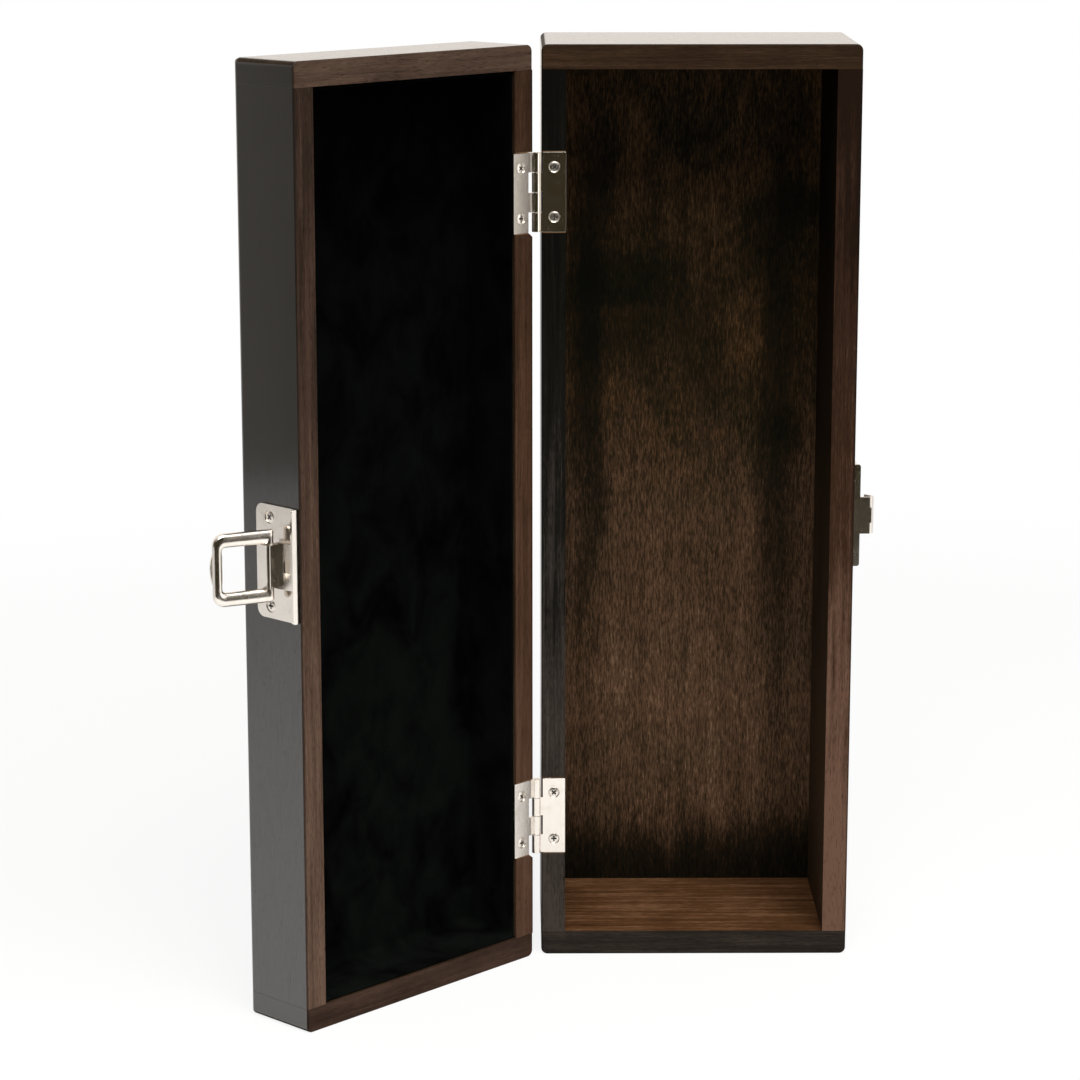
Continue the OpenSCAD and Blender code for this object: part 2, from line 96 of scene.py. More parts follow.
# ---- Floor and studio ------------------------------------------------------------------------
# A pale sheet of board that the box stands on, in a white room whose front, behind the camera,
# is dark. One wide soft lamp hangs above the front and a weaker one stands on the right. Every
# finish is written with the two classes here, as sums of noises and masks.
class Value:
    """One output socket of a shader tree. Arithmetic on it adds Math nodes to the tree."""

    def __init__(self, tree, socket):
        self.tree = tree
        self.socket = socket

    def math(self, operation, *terms):
        """The named Math operation on the terms, each of them a number or a Value."""
        return self.tree.node("ShaderNodeMath", {"operation": operation}, dict(enumerate(terms)))

    def __add__(self, other):
        return self.math("ADD", self, other)

    def __radd__(self, other):
        return self.math("ADD", other, self)

    def __sub__(self, other):
        return self.math("SUBTRACT", self, other)

    def __rsub__(self, other):
        return self.math("SUBTRACT", other, self)

    def __mul__(self, other):
        return self.math("MULTIPLY", self, other)

    def __rmul__(self, other):
        return self.math("MULTIPLY", other, self)

    def __truediv__(self, other):
        return self.math("DIVIDE", self, other)

    def __abs__(self):
        return self.math("ABSOLUTE", self)

    def least(self, other):
        """The smaller of the two, point by point."""
        return self.math("MINIMUM", self, other)

    def most(self, other):
        """The larger of the two, point by point."""
        return self.math("MAXIMUM", self, other)

    def step(self, low, high):
        """0 below low, 1 above high and a smooth rise between them."""
        return self.tree.node(
            "ShaderNodeMapRange", {"interpolation_type": "SMOOTHSTEP", "clamp": True},
            {"Value": self, "From Min": low, "From Max": high})


class Tree:
    """The nodes of one material or of the world."""

    def __init__(self, owner):
        owner.use_nodes = True
        self.nodes = owner.node_tree.nodes
        self.links = owner.node_tree.links
        self.nodes.clear()

    def node(self, kind, settings, values, output=0):
        """Adds a node of that kind, sets it up, fills its sockets and returns one output."""
        made = self.nodes.new(kind)
        for name, setting in settings.items():
            if name == "stops":
                ramp = made.color_ramp.elements
                while len(ramp) < len(setting):
                    ramp.new(0.5)
                for element, (place, colour) in zip(ramp, setting):
                    element.position = place
                    element.color = (*colour, 1)
            else:
                setattr(made, name, setting)
        for name, value in values.items():
            if isinstance(value, Value):
                self.links.new(value.socket, made.inputs[name])
            else:
                made.inputs[name].default_value = value
        return Value(self, made.outputs[output]) if len(made.outputs) else made

    def mix(self, share, first, second, blend="MIX"):
        """Colour first blended with colour second by share."""
        return self.node("ShaderNodeMix", {"data_type": "RGBA", "blend_type": blend},
                         {0: share, 6: first, 7: second}, output=2)

    def noise(self, vector, scale, detail, roughness, distortion=0.0):
        """Fractal noise from 0 to 1 on a vector."""
        return self.node("ShaderNodeTexNoise", {},
                         {"Vector": vector, "Scale": scale, "Detail": detail,
                          "Roughness": roughness, "Distortion": distortion})

    def vector(self, x, y, z):
        """Three Values or numbers as one vector."""
        return self.node("ShaderNodeCombineXYZ", {}, {0: x, 1: y, 2: z})

    def parts(self, vector):
        """The three parts of a vector."""
        split = self.nodes.new("ShaderNodeSeparateXYZ")
        self.links.new(vector.socket, split.inputs[0])
        return [Value(self, out) for out in split.outputs]

    def place(self, turn=(0, 0, 0), move=(0, 0, 0)):
        """The point on the piece, turned and then moved, as three Values in metres."""
        spot = self.node("ShaderNodeTexCoord", {}, {}, output="Object")
        return self.parts(self.node("ShaderNodeMapping", {},
                                    {"Vector": spot, "Rotation": turn, "Location": move}))

    def bump(self, height, depth):
        """The normal of a surface whose height is that Value times depth metres."""
        return self.node("ShaderNodeBump", {},
                         {"Height": height, "Distance": depth, "Strength": 1.0})

    def surface(self, values):
        """A Principled surface with those sockets, as the output of the material."""
        shader = self.node("ShaderNodeBsdfPrincipled", {}, values)
        self.node("ShaderNodeOutputMaterial", {}, {"Surface": shader})


WHITE = (1, 1, 1, 1)
FLOOR_COLOUR = (0.9, 0.9, 0.9, 1)
FLOOR_FRONT, FLOOR_BACK, FLOOR_HALF = -0.5, 3.0, 1.2
# The floor is whitened by this share near the box and fully where the squared distance from
# the origin, in square metres, passes the span.
WHITENED_NEAR = 0.86
WHITENING_SPAN = (0.16, 0.8)

floor_mesh = bpy.data.meshes.new("floor")
floor_mesh.from_pydata(
    [(-FLOOR_HALF, FLOOR_FRONT, 0), (FLOOR_HALF, FLOOR_FRONT, 0),
     (FLOOR_HALF, FLOOR_BACK, 0), (-FLOOR_HALF, FLOOR_BACK, 0)], [], [(0, 1, 2, 3)])
floor = bpy.data.objects.new("floor", floor_mesh)
bpy.context.scene.collection.objects.link(floor)

floor_material = bpy.data.materials.new("floor_board")
tree = Tree(floor_material)
x, y, z = tree.place()
far = (x * x + y * y).step(*WHITENING_SPAN)
seen = tree.node("ShaderNodeLightPath", {}, {})
board = tree.node("ShaderNodeBsdfDiffuse", {}, {"Color": FLOOR_COLOUR})
white = tree.node("ShaderNodeEmission", {}, {"Color": WHITE, "Strength": 1.0})
whitened = seen * (WHITENED_NEAR + far * (1 - WHITENED_NEAR))
mixed = tree.node("ShaderNodeMixShader", {}, {0: whitened, 1: board, 2: white})
tree.node("ShaderNodeOutputMaterial", {}, {"Surface": mixed})
floor_mesh.materials.append(floor_material)

# Each side of the room has its share of white in reflections, and the span of the direction's
# cosine over which that white comes in.
ROOM_LIGHT = (0.42, 0.42, 0.42, 1)
ROOM_DARK = (0.028, 0.021, 0.008, 1)
ROOM_WHITE = (1.0, 0.935, 0.865, 1)
ROOM_BACK, BACK_SPAN = 1.0, (-0.1, 0.35)
ROOM_RIGHT, RIGHT_SPAN = 0.57, (0.76, 0.96)
ROOM_LEFT, LEFT_SPAN = 0.06, (0.4, 0.95)
ROOM_TOP, TOP_SPAN = 0.7, (0.3, 0.9)

world = bpy.data.worlds.new("studio")
bpy.context.scene.world = world
tree = Tree(world)
to_x, to_y, to_z = tree.parts(tree.node("ShaderNodeTexCoord", {}, {}, output="Generated"))
bright = (to_y.step(*BACK_SPAN) * ROOM_BACK + to_x.step(*RIGHT_SPAN) * ROOM_RIGHT
          + (0 - to_x).step(*LEFT_SPAN) * ROOM_LEFT + to_z.step(*TOP_SPAN) * ROOM_TOP).least(1.0)
light_path = tree.nodes.new("ShaderNodeLightPath")
on_camera, on_gloss, on_glass = [
    Value(tree, light_path.outputs[name])
    for name in ("Is Camera Ray", "Is Glossy Ray", "Is Transmission Ray")]
mirrored = tree.mix(bright, ROOM_DARK, ROOM_WHITE)
room = tree.mix(on_gloss, ROOM_LIGHT, mirrored)
room = tree.mix((on_camera + on_glass).least(1.0), room, WHITE)
tree.node("ShaderNodeOutputWorld", {}, {"Surface": tree.node(
    "ShaderNodeBackground", {}, {"Color": room, "Strength": 1.0})})


def soft_lamp(name, place, aim, size, watts, tint):
    """A rectangular area lamp at a place, turned towards a point."""
    data = bpy.data.lights.new(name, "AREA")
    data.shape = "RECTANGLE"
    data.size, data.size_y = size
    data.energy = watts
    data.color = tint
    lamp = bpy.data.objects.new(name, data)
    lamp.location = place
    lamp.rotation_euler = (Vector(aim) - Vector(place)).to_track_quat("-Z", "Y").to_euler()
    bpy.context.scene.collection.objects.link(lamp)


MIDDLE = (-0.03, -0.03, 0.17)
soft_lamp("overhead", place=(0.15, -0.85, 1.35), aim=MIDDLE, size=(1.1, 0.8), watts=26,
          tint=(1, 0.965, 0.92))
soft_lamp("right", place=(1.3, -0.75, 0.5), aim=MIDDLE, size=(1.0, 1.2), watts=5,
          tint=(1, 0.96, 0.92))


# ---- Boards ----------------------------------------------------------------------------------
# Eight planed boards, 9.3 mm thick, butt-jointed and glued. They are stained brown inside and on
# the rims, and black outside under a satin lacquer. Their sharp edges are eased with paper. The
# brown also holds painted light: a lift low down, sheen on the rims and shade on most inner faces.
lid_joint = next(joint for joint in frame["joints"] if joint["name"] == "lid_hinge")
LID_OPEN_DEG = -lid_joint["range_deg"][1]
LID_AXIS = Vector(lid_joint["pos_m"])
TO_SHUT = Matrix.Rotation(math.radians(-LID_OPEN_DEG), 4, "Z")
board_low, board_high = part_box("base_top_end")
BOX_W = board_high.x - board_low.x
BOX_H = board_high.z
BASE_RIM_Y = board_low.y
BASE_D = board_high.y - BASE_RIM_Y
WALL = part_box("base_bottom_end")[1].z
RIM_GAP = 2 * (BASE_RIM_Y - LID_AXIS.y)
LID_D = max(BASE_RIM_Y - RIM_GAP - (TO_SHUT @ (vertex.co - LID_AXIS) + LID_AXIS).y
            for vertex in nodes["lid_top_end"].data.vertices)
EASED = 0.6 * MM
EASED_AT_JOINT = 0.12 * MM
AT_JOINT = 0.05 * MM
MERGE_WITHIN = 0.002 * MM
FLAT_WITHIN_DEG = 0.5
SHARP_FROM_DEG = 35
LARGE_FACES_WEIGHT = 100


def finer_copy(name, eased, joints=(), segments=3):
    """A copy of a node with its doubles merged, flat faces joined and sharp edges rounded.

    The rounding is eased metres, or EASED_AT_JOINT on edges that lie at a height in joints.
    """
    mesh = nodes[name].data.copy()
    mesh.name = name + "_finer"
    shape = bmesh.new()
    shape.from_mesh(mesh)
    bmesh.ops.remove_doubles(shape, verts=shape.verts, dist=MERGE_WITHIN)
    bmesh.ops.dissolve_limit(shape, angle_limit=math.radians(FLAT_WITHIN_DEG),
                             verts=shape.verts, edges=shape.edges)
    shape.to_mesh(mesh)
    shape.free()
    if "custom_normal" in mesh.attributes:
        mesh.attributes.remove(mesh.attributes["custom_normal"])
    mesh.polygons.foreach_set("use_smooth", np.ones(len(mesh.polygons), bool))
    mesh.set_sharp_from_angle(angle=math.radians(SHARP_FROM_DEG))
    sharp = np.zeros(len(mesh.edges), bool)
    mesh.attributes["sharp_edge"].data.foreach_get("value", sharp)
    ends = np.zeros(len(mesh.edges) * 2, np.int32)
    mesh.edges.foreach_get("vertices", ends)
    heights = np.zeros(len(mesh.vertices) * 3, np.float32)
    mesh.vertices.foreach_get("co", heights)
    heights = heights[2::3][ends].reshape(-1, 2)
    weight = sharp.astype(np.float32)
    for joint in joints:
        weight[np.abs(heights - joint).max(1) < AT_JOINT] *= EASED_AT_JOINT / eased
    mesh.attributes.new("bevel_weight_edge", "FLOAT", "EDGE").data.foreach_set("value", weight)
    mesh.attributes.remove(mesh.attributes["sharp_edge"])
    piece = bpy.data.objects.new(name + "_finer", mesh)
    bpy.context.scene.collection.objects.link(piece)
    ease = piece.modifiers.new("eased_edges", "BEVEL")
    ease.limit_method = "WEIGHT"
    ease.width = eased
    ease.segments = segments
    even = piece.modifiers.new("even_faces", "WEIGHTED_NORMAL")
    even.weight = LARGE_FACES_WEIGHT
    mesh.materials.clear()
    return piece


def half_place(tree, in_lid):
    """The point in its half's own frame: x across, y back from the rim, z up, in metres."""
    if not in_lid:
        return tree.place(move=(0, -BASE_RIM_Y, 0))
    x, y, z = tree.place(turn=(0, 0, math.radians(-LID_OPEN_DEG)),
                         move=LID_AXIS - TO_SHUT @ LID_AXIS)
    return x, (BASE_RIM_Y - RIM_GAP) - y, z


SEED_IN_Y = 1.7


def grain_noise(tree, place, grain, seed, cells):
    """Noise that is drawn out along the grain, X or Z.

    cells holds the size of its cells across and along the grain in metres, and then its detail,
    roughness and distortion.
    """
    x, y, z = place
    across, along, detail, roughness, distortion = cells
    scales = [1 / across] * 3
    scales["XZ".index(grain) * 2] = 1 / along
    spot = tree.vector(x * scales[0] + seed, y * scales[1] + seed * SEED_IN_Y,
                       z * scales[2] - seed)
    return tree.noise(spot, 1.0, detail, roughness, distortion)


def swung(start, noises, shares):
    """start + the sum of (noise - 0.5) share over the noises and their shares."""
    for noise, share in zip(noises, shares):
        start = start + (noise - 0.5) * share
    return start


def near_face(off_middle, half, span):
    """0 inside and 1 at the face that lies half from the middle.

    span holds the two depths under that face between which it rises.
    """
    return off_middle.step(half - span[0], half - span[1])


OUTER_DARK = (0.0050, 0.0043, 0.0035, 1)
OUTER_PALE = (0.0112, 0.0098, 0.0081, 1)
OUTER_SHARES = (1.2, 0.6)
ROUGH_WOOD = 0.5
ROUGH_LESS_OUTSIDE = 0.14
LACQUER_FULL = 1.08
LACQUER_LESS_OVER_PORES = 0.3
LACQUER_LESS_OVER_FIBRES = 1.2
GRAIN_RELIEF = 0.05 * MM


def wood_surface(tree, colour, rough, normal, lacquer):
    """Bare stained wood with almost no shine, under a clear satin lacquer where there is any."""
    tree.surface({"Base Color": colour, "Roughness": rough, "Normal": normal,
                  "Specular IOR Level": 0.05, "Coat Weight": lacquer,
                  "Coat Roughness": 0.1, "Coat IOR": 1.8, "IOR": 1.5})


# Cells across and along the grain, detail, roughness and distortion of the boards' noises.
BOARD_BANDS = (2.4 * MM, 70 * MM, 3, 0.55, 0.5)
BOARD_DASHES = (0.5 * MM, 3.6 * MM, 2, 0.5, 0.0)
BOARD_FIBRES = (0.3 * MM, 16 * MM, 2, 0.6, 0.0)
BOARD_PORES = (0.28 * MM, 3 * MM, 1, 0.5, 0.0)
BOARD_CLOUDS_PER_M = 30
BOARD_CLOUDS_TALL = 0.6
PORES_SPAN = (0.60, 0.72)
# Shares of the bands, dashes, fibres and clouds in the tone, and of the dashes, fibres, pores
# and bands in the relief.
BOARD_SHARES = (0.95, 0.5, 0.5, 0.6)
BOARD_RELIEF = (0.35, 0.3, 0.6, 0.2)
RELIEF_FILLED_OUTSIDE = 0.75
# The ramp runs from a darkened brown through brown to pale at these tones.
DARK_AT, BROWN_AT, PALE_AT = 0.1, 0.5, 0.92
DARKENED = 0.32
PORE_STAIN = (0.0045, 0.0032, 0.0018, 1)
PORE_SHARE = 0.5
RIM_DEPTH = (0.3 * MM, 0.9 * MM)
# A thin paler line is painted at the rim above and below each base leaf.
PALE_LINE_COLOUR = (0.26, 0.15, 0.075, 1)
PALE_LINE_SHARE = 0.5
PALE_LINE_FROM, PALE_LINE_TO = (0.02 * MM, 0.1 * MM), (0.25 * MM, 0.5 * MM)
PALE_LINE_ACROSS, PALE_LINE_DEPTH = (-0.5 * MM, 0), (1.5 * MM, 2 * MM)
# Depths under the faces over which the black outside and the dark arris come in.
SIDE_SKIN = (0.35 * MM, 0.05 * MM)
CLOSED_SKIN = (2.1 * MM, 1.7 * MM)
BLACK_PAST_RIM = (0.25 * MM, 0.7 * MM)
ARRIS_SKIN = (0.9 * MM, 0.3 * MM)
ARRIS_DEPTH = (0.6 * MM, 1.2 * MM)
ARRIS_SHARE = 0.6
ROUGH_BY_FIBRES, ROUGH_IN_PORES = 0.12, 0.12


def stained_wood(name, in_lid, grain, depth, seed, rim, inside, painted_low_light):
    """The finish of one board, whose grain runs along X or Z.

    rim and inside are pairs of colours, brown and pale, for the rim and the inner face: stain, with
    painted sheen on the rims and painted shade on most inner faces. tone = 0.5 + bands + dashes +
    fibres + clouds + (0.5 - z / height) times the lift low down, which is painted light, picks
    between them, pores and the outer arris darken them, and the outer faces are black.
    """
    material = bpy.data.materials.new(name)
    tree = Tree(material)
    place = half_place(tree, in_lid)
    x, y, z = place
    bands = grain_noise(tree, place, grain, seed, BOARD_BANDS)
    dashes = grain_noise(tree, place, grain, seed + 3, BOARD_DASHES)
    fibres = grain_noise(tree, place, grain, seed + 5, BOARD_FIBRES)
    pores = grain_noise(tree, place, grain, seed + 7, BOARD_PORES).step(*PORES_SPAN)
    clouds = tree.noise(tree.vector(x + seed, y, z * BOARD_CLOUDS_TALL), BOARD_CLOUDS_PER_M, 3,
                        0.6)
    # The last term lightens the tone low down: painted light from below.
    tone = (swung(0.5, (bands, dashes, fibres, clouds), BOARD_SHARES)
            + (0.5 - z / BOX_H) * painted_low_light)
    stains = []
    for brown, pale in (rim, inside):
        darkened = [part * DARKENED for part in brown]
        stops = [(DARK_AT, darkened), (BROWN_AT, brown), (PALE_AT, pale)]
        stains.append(tree.node("ShaderNodeValToRGB", {"stops": stops}, {"Fac": tone}))
    # Past the rim the inner colours come in, which on most boards hold painted shade.
    stain = tree.mix(y.step(*RIM_DEPTH), stains[0], stains[1])
    stain = tree.mix(pores * PORE_SHARE, stain, PORE_STAIN)
    pale_line = 0
    for level in ("upper", "lower"):
        low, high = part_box(level + "_hinge_base_leaf")
        off = abs(z - (low.z + high.z) / 2) - (high.z - low.z) / 2
        pale_line = pale_line + off.step(*PALE_LINE_FROM) * (1 - off.step(*PALE_LINE_TO))
    pale_line = pale_line * (1 - (x - high.x).step(*PALE_LINE_ACROSS)) * (1 - y.step(*PALE_LINE_DEPTH))
    stain = tree.mix(pale_line * PALE_LINE_SHARE, stain, PALE_LINE_COLOUR)
    side = near_face(abs(x), BOX_W / 2, SIDE_SKIN)
    ends = near_face(abs(z - BOX_H / 2), BOX_H / 2, SIDE_SKIN)
    closed = near_face(y, depth, CLOSED_SKIN)
    outside = side.most(ends).most(closed) * y.step(*BLACK_PAST_RIM)
    black = tree.mix(swung(0.5, (bands, fibres), OUTER_SHARES), OUTER_DARK, OUTER_PALE)
    colour = tree.mix(outside, stain, black)
    arris = (near_face(abs(x), BOX_W / 2, ARRIS_SKIN) * (1 - outside)
             * (1 - y.step(*ARRIS_DEPTH)))
    colour = tree.mix(arris * ARRIS_SHARE, colour, OUTER_DARK)
    rough = (swung(ROUGH_WOOD, (fibres,), (ROUGH_BY_FIBRES,)) + pores * ROUGH_IN_PORES
             - outside * ROUGH_LESS_OUTSIDE)
    lacquer = outside * (LACQUER_FULL - pores * LACQUER_LESS_OVER_PORES
                         - abs(fibres - 0.5) * LACQUER_LESS_OVER_FIBRES).least(1.0)
    in_dashes, in_fibres, in_pores, in_bands = BOARD_RELIEF
    relief = dashes * in_dashes + fibres * in_fibres - pores * in_pores + bands * in_bands
    normal = tree.bump(relief * (1 - outside * RELIEF_FILLED_OUTSIDE), GRAIN_RELIEF)
    wood_surface(tree, colour, rough, normal, lacquer)
    return material


# Each board's grain, seed, rim colours, inside colours and painted light lifting the tone low down.
# The first pair below, used inside most boards, is a darker stain with painted shade in it.
DEEP_STAIN_AND_SHADE = ((0.0215, 0.0135, 0.0078), (0.052, 0.0325, 0.0195))
FLOOR_STAIN = ((0.086, 0.0385, 0.0158), (0.265, 0.148, 0.083))
# The rim colours differ board by board partly as stain and partly as painted sheen from the grain's
# direction.
BOARD_FINISHES = [
    ("base_top_end", "X", 1.3, ((0.0215, 0.0113, 0.0054), (0.046, 0.0255, 0.0140)),
     DEEP_STAIN_AND_SHADE, 0.0),
    ("base_bottom_end", "X", 2.9, ((0.0160, 0.0128, 0.0102), (0.040, 0.0300, 0.0235)),
     FLOOR_STAIN, 0.0),
    ("base_hinge_side", "Z", 4.1, ((0.0066, 0.0060, 0.0044), (0.041, 0.0330, 0.0280)),
     DEEP_STAIN_AND_SHADE, 1.0),
    ("base_latch_side", "Z", 5.7, ((0.0320, 0.0148, 0.0078), (0.108, 0.060, 0.0400)),
     DEEP_STAIN_AND_SHADE, 1.15),
    ("lid_top_end", "X", 7.3, ((0.051, 0.0310, 0.0215), (0.085, 0.054, 0.039)),
     DEEP_STAIN_AND_SHADE, 0.0),
    ("lid_bottom_end", "X", 8.9, ((0.032, 0.0170, 0.0108), (0.056, 0.032, 0.0215)),
     DEEP_STAIN_AND_SHADE, 0.0),
    ("lid_hinge_side", "Z", 10.1, ((0.046, 0.0222, 0.0118), (0.082, 0.045, 0.0285)),
     DEEP_STAIN_AND_SHADE, 0.5),
    ("lid_latch_side", "Z", 11.7, ((0.050, 0.0285, 0.0192), (0.110, 0.068, 0.048)),
     DEEP_STAIN_AND_SHADE, 0.7),
]

for name, grain, seed, rim, inside, painted_low_light in BOARD_FINISHES:
    in_lid = name.startswith("lid")
    piece = finer_copy(name, EASED, joints=(WALL, BOX_H - WALL))
    piece.data.materials.append(
        stained_wood("stain_" + name, in_lid, grain, LID_D if in_lid else BASE_D, seed, rim,
                     inside, painted_low_light))
    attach(piece, "lid" if in_lid else "base")
    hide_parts(name)


# ---- Plywood panels --------------------------------------------------------------------------
# Two 4 mm plywood panels in rebates. The base's panel shows its brown veneer inside: upright
# dashes, a dark band of stain a little way in from each side, and dark at the head and foot.
# The base panel's tone is also lifted in the lower middle and at the very top as painted light.
PANEL_T = 4 * MM
PANEL_EASED = 0.2 * MM
VENEER_STOPS = [(0.0, (0.0034, 0.0032, 0.0019)), (0.3, (0.0115, 0.0075, 0.0035)),
                (0.5, (0.034, 0.0185, 0.0092)), (0.75, (0.094, 0.051, 0.0275)),
                (1.0, (0.205, 0.130, 0.080))]
VENEER_OLIVE = (0.62, 0.80, 0.80, 1)
VENEER_GOLDEN = (1.0, 0.96, 0.72, 1)
# Cells across and along the grain, detail, roughness and distortion of the veneer's noises.
VENEER_BANDS = (4.5 * MM, 110 * MM, 3, 0.6, 0.4)
VENEER_DASHES = (0.5 * MM, 3 * MM, 2, 0.6, 0.0)
VENEER_FIBRES = (0.34 * MM, 12 * MM, 2, 0.6, 0.0)
VENEER_STREAKS = (2 * MM, 30 * MM, 2, 0.6, 0.0)
VENEER_CLOUDS_PER_M, VENEER_CLOUDS_TALL = 24, 0.5
BLOTCHES_PER_M, BLOTCHES_NARROW = 26, 1.2
# Shares of the bands, dashes, fibres and clouds in the tone.
VENEER_SHARES = (0.30, 0.95, 0.30, 0.28)
VENEER_RELIEF = (0.5, 0.4)
VENEER_ROUGH_BY_FIBRES = 0.15
VENEER_SKIN = (1 * MM, 0.5 * MM)
# The plan of the stain and of the painted light in it. A span is where a part of it comes in,
# RAGGED is how far the clouds push its edge, STREAKED how far the streaks do, and MORE_RIGHT what
# the right half adds.
RIGHT_HALF = (-5 * MM, 5 * MM)
SIDE_INSET, SIDE_INSET_MORE_RIGHT = 10 * MM, 5 * MM
SIDE_HALF, SIDE_HALF_MORE_RIGHT = 9 * MM, 4 * MM
SIDE_RAGGED, SIDE_STREAKED = 11 * MM, 5 * MM
SIDE_LOW_DOWN, SIDE_SPAN, SIDE_SPAN_RAGGED = 0.14, (50 * MM, 210 * MM), 50 * MM
FOOT_SPAN, FOOT_RAGGED, FOOT_STREAKED, FOOT_MORE_RIGHT = (2 * MM, 30 * MM), 14 * MM, 18 * MM, 7 * MM
HEAD_SPAN, HEAD_RAGGED, HEAD_BANDED = (160 * MM, 240 * MM), 55 * MM, 50 * MM
# The crown lightens the very top as painted light, against the top board's shadow.
CROWN_SPAN = (265 * MM, 345 * MM)
# The lower middle round LOW_Z is lightened as a painted pool of light.
LOW_Z, LOW_SPAN = 85 * MM, (0, 65 * MM)
BAR_Z, BAR_SPAN, BAR_RAGGED, BAR_SLOPE = 232 * MM, (5 * MM, 32 * MM), 22 * MM, 0.3
BAR_ENDS = (-8 * MM, 32 * MM)
# What each part of the plan adds to the tone or takes from it.
TONE_START, TONE_LOW, TONE_FOOT, TONE_BAR = 0.55, 0.09, 0.42, 0.11
TONE_SIDE, TONE_SIDE_CROWN = 0.30, 0.26
TONE_HEAD, TONE_HEAD_CROWN, TONE_BLOTCHES = 0.21, 0.15, 0.6
OLIVE_OF_BLOTCHES, OLIVE_OF_DASHES, OLIVE_SPAN = 0.7, 0.3, (0.40, 0.56)
OLIVE_START, OLIVE_HEAD = 0.25, 0.5


def stained_veneer(name, in_lid, depth, seed):
    """The finish of one panel.

    tone = stain + bands + dashes + fibres + clouds, where stain falls in the two side bands, in
    a bar at two thirds of the height, in blotches at the head and in streaks above the foot.
    Painted light lifts it in the lower middle and at the very top, against the top board's shadow.
    """
    material = bpy.data.materials.new(name)
    tree = Tree(material)
    place = half_place(tree, in_lid)
    x, y, z = place
    bands = grain_noise(tree, place, "Z", seed, VENEER_BANDS)
    dashes = grain_noise(tree, place, "Z", seed + 3, VENEER_DASHES)
    fibres = grain_noise(tree, place, "Z", seed + 7, VENEER_FIBRES)
    clouds = tree.noise(tree.vector(x + seed, y, z * VENEER_CLOUDS_TALL), VENEER_CLOUDS_PER_M, 3,
                        0.6, 0.6)
    streaks = grain_noise(tree, place, "Z", seed + 9, VENEER_STREAKS)
    blotches = tree.noise(tree.vector(x * BLOTCHES_NARROW - seed, y, z), BLOTCHES_PER_M, 2, 0.5,
                          0.8)
    ragged = (clouds - 0.5) * 2
    streaked = streaks - 0.5
    right = x.step(*RIGHT_HALF)
    inset = BOX_W / 2 - WALL - abs(x) + ragged * SIDE_RAGGED + streaked * SIDE_STREAKED
    off_band = abs(inset - (SIDE_INSET + right * SIDE_INSET_MORE_RIGHT))
    side_band = 1 - off_band.step(0, SIDE_HALF + right * SIDE_HALF_MORE_RIGHT)
    side_band = side_band * (SIDE_LOW_DOWN + (1 - SIDE_LOW_DOWN)
                             * (z + ragged * SIDE_SPAN_RAGGED).step(*SIDE_SPAN))
    foot = 1 - (z - WALL + ragged * FOOT_RAGGED + streaked * FOOT_STREAKED
                - right * FOOT_MORE_RIGHT).step(*FOOT_SPAN)
    head = (z + ragged * HEAD_RAGGED + (bands - 0.5) * HEAD_BANDED).step(*HEAD_SPAN)
    # Painted light at the very top: it eases the head's darkening and the side bands there.
    crown = z.step(*CROWN_SPAN)
    # A painted pool of light in the lower middle of the panel.
    low = 1 - abs(z - LOW_Z).step(*LOW_SPAN)
    bar = 1 - abs(z - BAR_Z + x * BAR_SLOPE + ragged * BAR_RAGGED).step(*BAR_SPAN)
    stain = (TONE_START + low * TONE_LOW - side_band * (TONE_SIDE - crown * TONE_SIDE_CROWN)
             - foot * TONE_FOOT - bar * (1 - x.step(*BAR_ENDS)) * TONE_BAR
             + head * (crown * TONE_HEAD_CROWN - TONE_HEAD + (blotches - 0.5) * TONE_BLOTCHES))
    tone = swung(stain, (bands, dashes, fibres, clouds), VENEER_SHARES)
    brown = tree.node("ShaderNodeValToRGB", {"stops": VENEER_STOPS}, {"Fac": tone})
    green = blotches * OLIVE_OF_BLOTCHES + dashes * OLIVE_OF_DASHES
    olive = (1 - green.step(*OLIVE_SPAN)) * (OLIVE_START + head * OLIVE_HEAD)
    brown = tree.mix(olive, brown, VENEER_OLIVE, blend="MULTIPLY")
    brown = tree.mix(head, brown, VENEER_GOLDEN, blend="MULTIPLY")
    outside = near_face(y, depth, VENEER_SKIN)
    black = tree.mix(swung(0.5, (bands,), OUTER_SHARES), OUTER_DARK, OUTER_PALE)
    colour = tree.mix(outside, brown, black)
    rough = (swung(ROUGH_WOOD, (fibres,), (VENEER_ROUGH_BY_FIBRES,))
             - outside * ROUGH_LESS_OUTSIDE)
    lacquer = outside * (LACQUER_FULL
                         - abs(fibres - 0.5) * LACQUER_LESS_OVER_FIBRES).least(1.0)
    in_dashes, in_fibres = VENEER_RELIEF
    normal = tree.bump(dashes * in_dashes + fibres * in_fibres, GRAIN_RELIEF)
    wood_surface(tree, colour, rough, normal, lacquer)
    return material


for name, in_lid, depth, seed in [("base_back_panel", False, BASE_D, 21.0),
                                  ("lid_front_panel", True, LID_D, 27.0)]:
    piece = finer_copy(name, PANEL_EASED, segments=2)
    piece.data.materials.append(stained_veneer("veneer_" + name, in_lid, depth, seed))
    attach(piece, "lid" if in_lid else "base")
    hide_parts(name)


# ---- Velvet lining ---------------------------------------------------------------------------
# A shallow tray of card covered with black velvet and glued into the lid. Its inside corners
# are coved, its lip is folded over, and the pile lies a little unevenly.
LINING_DROP = 1.2 * MM
LINING_T = 1.2 * MM
LINING_COVE = 3 * MM
LINING_FOLD = 0.55 * MM
LINING_CLEAR = 0.03 * MM
LINING_CORNER_R = 0.4 * MM
LINING_CORNER_SHARE, LINING_CORNER_LEAST = 0.9, 0.001 * MM
LINING_RUN_IN = 2 * MM
LINING_HOLE = 0.02 * MM
VELVET_WAVE = 0.12 * MM
WAVE_ACROSS, WAVE_UP, WAVE_SNAKE, WAVE_PHASE = 7 * MM, 11 * MM, 31 * MM, 1.3
GRID_MERGE_WITHIN = 0.001 * MM
GRID_DEGENERATE = 0.0005 * MM


